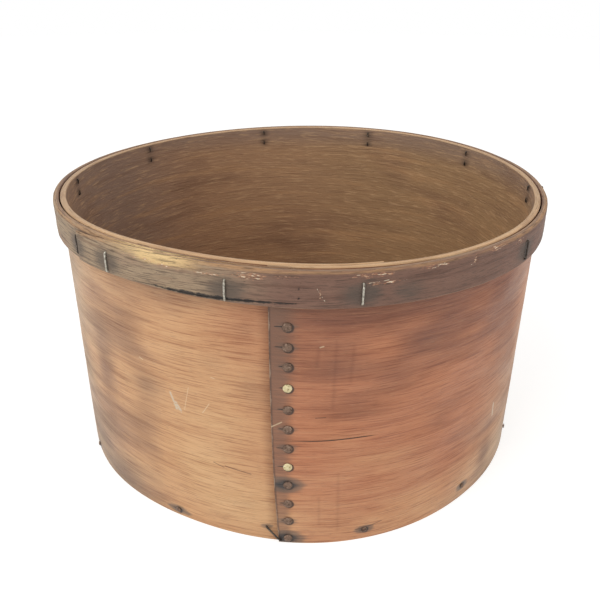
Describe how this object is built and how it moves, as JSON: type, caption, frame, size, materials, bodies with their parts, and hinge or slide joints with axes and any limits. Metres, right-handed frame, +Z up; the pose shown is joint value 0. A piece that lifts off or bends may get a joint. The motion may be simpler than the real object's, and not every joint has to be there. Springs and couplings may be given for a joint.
{
  "type": "round bentwood hat box",
  "caption": "Open round box of bent wood with a tacked front seam, a stapled rim hoop and a nailed solid bottom.",
  "frame": {"origin": "centre of the underside, level with the wall's lower edge and the board's underside", "axes": "+Z up along the box's axis, -Y towards the front, where the wall's tacked seam is, +X to the right of someone facing the front"},
  "size_m": [0.3932, 0.3937, 0.2164],
  "materials": {
    "wall_wood": "aged, hand-polished reddish tan veneer with an open horizontal grain",
    "hoop_wood": "weathered grey-brown, worn on its upper corner",
    "board_wood": "plain dark aged board",
    "aged_iron": "dark brown oxidised iron",
    "pale_brass": "pale worn brass",
    "staple_wire": "dark oxidised steel wire"
  },
  "bodies": {
    "root": {"bottom_board": "board_wood", "bottom_nail_01": "aged_iron", "bottom_nail_02": "aged_iron", "bottom_nail_03": "aged_iron", "bottom_nail_04": "aged_iron", "bottom_nail_05": "aged_iron", "bottom_nail_06": "aged_iron", "bottom_nail_07": "aged_iron", "bottom_nail_08": "aged_iron", "bottom_nail_09": "aged_iron", "bottom_nail_10": "aged_iron", "bottom_nail_11": "aged_iron", "bottom_nail_12": "aged_iron", "bottom_nail_13": "aged_iron", "rim_hoop": "hoop_wood", "rim_staple_01": "staple_wire", "rim_staple_02": "staple_wire", "rim_staple_03": "staple_wire", "rim_staple_04": "staple_wire", "rim_staple_05": "staple_wire", "rim_staple_06": "staple_wire", "rim_staple_07": "staple_wire", "rim_staple_08": "staple_wire", "rim_staple_09": "staple_wire", "rim_staple_10": "staple_wire", "rim_staple_11": "staple_wire", "seam_nail": "aged_iron", "seam_staple": "aged_iron", "seam_tack_01": "aged_iron", "seam_tack_02": "aged_iron", "seam_tack_03": "aged_iron", "seam_tack_04": "pale_brass", "seam_tack_05": "aged_iron", "seam_tack_06": "aged_iron", "seam_tack_07": "aged_iron", "seam_tack_08": "pale_brass", "seam_tack_09": "aged_iron", "seam_tack_10": "aged_iron", "seam_tack_11": "aged_iron", "wall_band": "wall_wood"}
  },
  "joints": []
}
